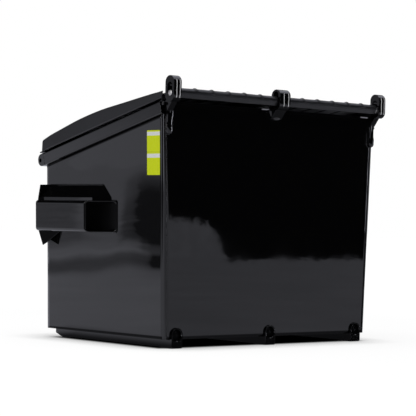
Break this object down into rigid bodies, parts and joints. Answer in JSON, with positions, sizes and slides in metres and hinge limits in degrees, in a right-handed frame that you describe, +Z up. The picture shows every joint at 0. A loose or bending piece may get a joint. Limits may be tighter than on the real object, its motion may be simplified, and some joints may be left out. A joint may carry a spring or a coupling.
{
  "type": "front-load waste container",
  "caption": "Slant-top steel waste container on skid runners, with side pockets for a truck's forks and two hinged plastic lids on a rod.",
  "frame": {"origin": "on the ground under the middle of the container's bounding box", "axes": "+X to the right-hand side seen from the low front, +Y towards the high rear with the lid hinge, +Z up"},
  "size_m": [2.0284, 1.3386, 1.6367],
  "materials": {
    "black_paint": "gloss",
    "bare_steel": "satin",
    "lid_plastic": "satin",
    "decal_yellow": "satin"
  },
  "bodies": {
    "container": {"floor_panel": "black_paint", "front_panel": "black_paint", "rear_panel": "black_paint", "right_side_panel": "black_paint", "left_side_panel": "black_paint", "right_rear_corner": "black_paint", "left_rear_corner": "black_paint", "right_front_corner": "black_paint", "left_front_corner": "black_paint", "front_rim": "black_paint", "rear_rim": "black_paint", "right_rim": "black_paint", "left_rim": "black_paint", "right_runner": "black_paint", "middle_runner": "black_paint", "left_runner": "black_paint", "front_wear_pads": "black_paint", "rear_wear_pads": "black_paint", "right_fork_pocket": "black_paint", "left_fork_pocket": "black_paint", "right_pocket_saddle": "black_paint", "left_pocket_saddle": "black_paint", "right_end_gusset": "black_paint", "left_end_gusset": "black_paint", "right_lower_gusset": "black_paint", "left_lower_gusset": "black_paint", "right_hinge_ear": "black_paint", "left_hinge_ear": "black_paint", "middle_hinge_bracket": "black_paint", "upper_decal": "decal_yellow", "lower_decal": "decal_yellow"},
    "lid_rod": {"lid_rod": "bare_steel", "rod_collars": "bare_steel"},
    "right_lid": {"right_lid": "lid_plastic"},
    "left_lid": {"left_lid": "lid_plastic"}
  },
  "joints": [
    {"name": "rod_lift", "type": "slide", "parent": "container", "child": "lid_rod", "axis": [0, 0, 1], "range_m": [0, 0.047]},
    {"name": "right_lid_hinge", "type": "hinge", "parent": "lid_rod", "child": "right_lid", "pos_m": [0.45, 0.62934, 1.532], "axis": [-1, 0, 0], "range_deg": [0, 275]},
    {"name": "left_lid_hinge", "type": "hinge", "parent": "lid_rod", "child": "left_lid", "pos_m": [-0.45, 0.62934, 1.532], "axis": [-1, 0, 0], "range_deg": [0, 275]}
  ]
}
